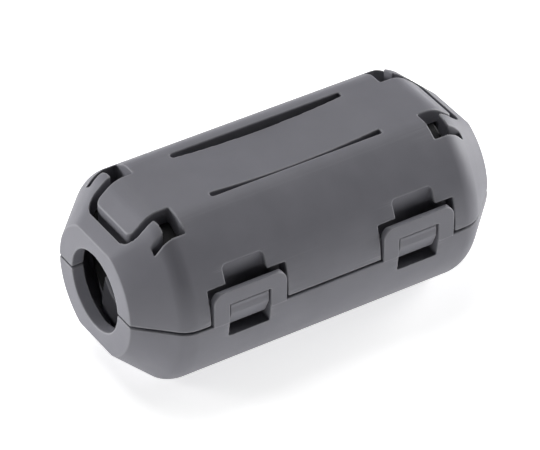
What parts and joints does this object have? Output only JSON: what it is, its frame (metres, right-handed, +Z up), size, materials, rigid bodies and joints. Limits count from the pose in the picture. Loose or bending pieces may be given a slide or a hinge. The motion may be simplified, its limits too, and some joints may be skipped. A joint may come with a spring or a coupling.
{
  "type": "clip-on ferrite bead",
  "caption": "Round grey nylon case around a split ferrite core, hinged along its back and held by latch loops in front, clamped over a cable to damp high-frequency noise.",
  "frame": {"origin": "centre of the cable hole, midway along the case, on the parting plane", "axes": "+X along the cable hole, +Z up through the lid's flat top, +Y towards the hinge, so the latches face -Y"},
  "size_m": [0.025, 0.0132, 0.0116],
  "materials": {
    "nylon": "fine satin moulded surface",
    "ferrite": "dull sintered, dark grey"
  },
  "bodies": {
    "base": {"lower_case": "nylon", "lower_ferrite": "ferrite"},
    "lid": {"upper_case": "nylon", "upper_ferrite": "ferrite"},
    "left_loop": {"left_latch": "nylon"},
    "right_loop": {"right_latch": "nylon"}
  },
  "joints": [
    {"name": "lid_hinge", "type": "hinge", "parent": "base", "child": "lid", "pos_m": [0, 0.00655, 0], "axis": [-1, 0, 0], "range_deg": [0, 180]},
    {"name": "left_loop_flex", "type": "hinge", "parent": "base", "child": "left_loop", "pos_m": [-0.00585, -0.00655, -0.00007], "axis": [1, 0, 0], "range_deg": [0, 20], "stiffness_Nm_per_rad": 0.05},
    {"name": "right_loop_flex", "type": "hinge", "parent": "base", "child": "right_loop", "pos_m": [0.00585, -0.00655, -0.00007], "axis": [1, 0, 0], "range_deg": [0, 20], "stiffness_Nm_per_rad": 0.05}
  ]
}
